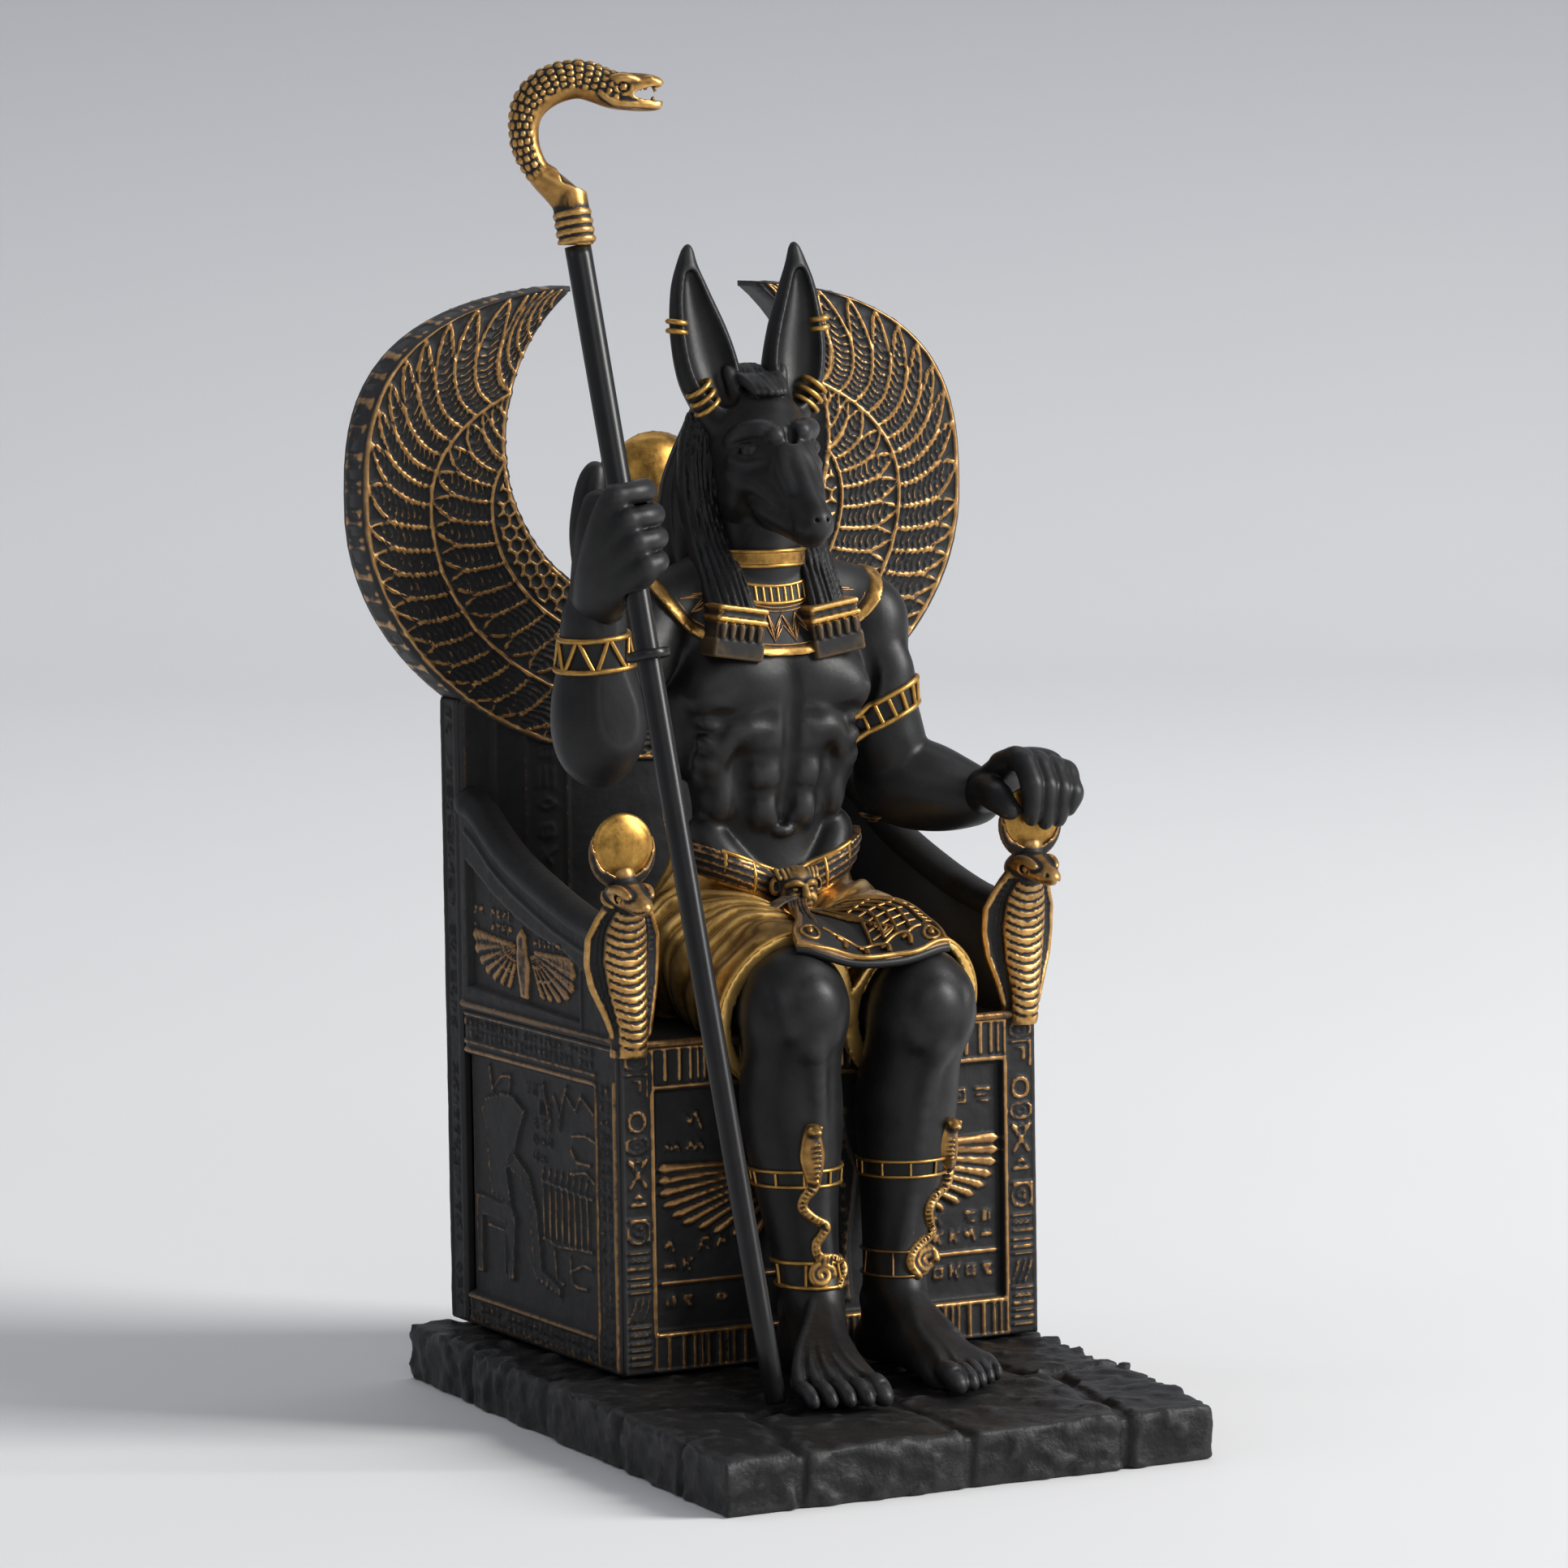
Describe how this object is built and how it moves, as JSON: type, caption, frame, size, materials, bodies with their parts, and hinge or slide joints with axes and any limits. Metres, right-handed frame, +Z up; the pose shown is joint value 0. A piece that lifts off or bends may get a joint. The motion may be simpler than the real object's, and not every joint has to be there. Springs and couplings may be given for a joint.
{
  "type": "seated jackal-headed god figurine",
  "caption": "Jackal-headed god seated on a winged throne, holding a snake-headed staff, on a paved plinth.",
  "frame": {"origin": "on the underside of the plinth, below the middle plane of the seated figure", "axes": "+Z up, the figure faces -Y, +X towards its left hand"},
  "size_m": [0.1464, 0.1707, 0.2864],
  "materials": {
    "black_resin": "matt charcoal black cold-cast resin, raised work dry-brushed in antique gold",
    "gilt_resin": "antique gold paint, worn dark in the hollows",
    "gloss_black": "smooth glossy black"
  },
  "bodies": {
    "root": {"plinth": "black_resin", "throne": "black_resin", "figure": "black_resin", "staff_shaft": "gloss_black", "staff_washer": "black_resin", "staff_head": "gilt_resin"}
  },
  "joints": []
}
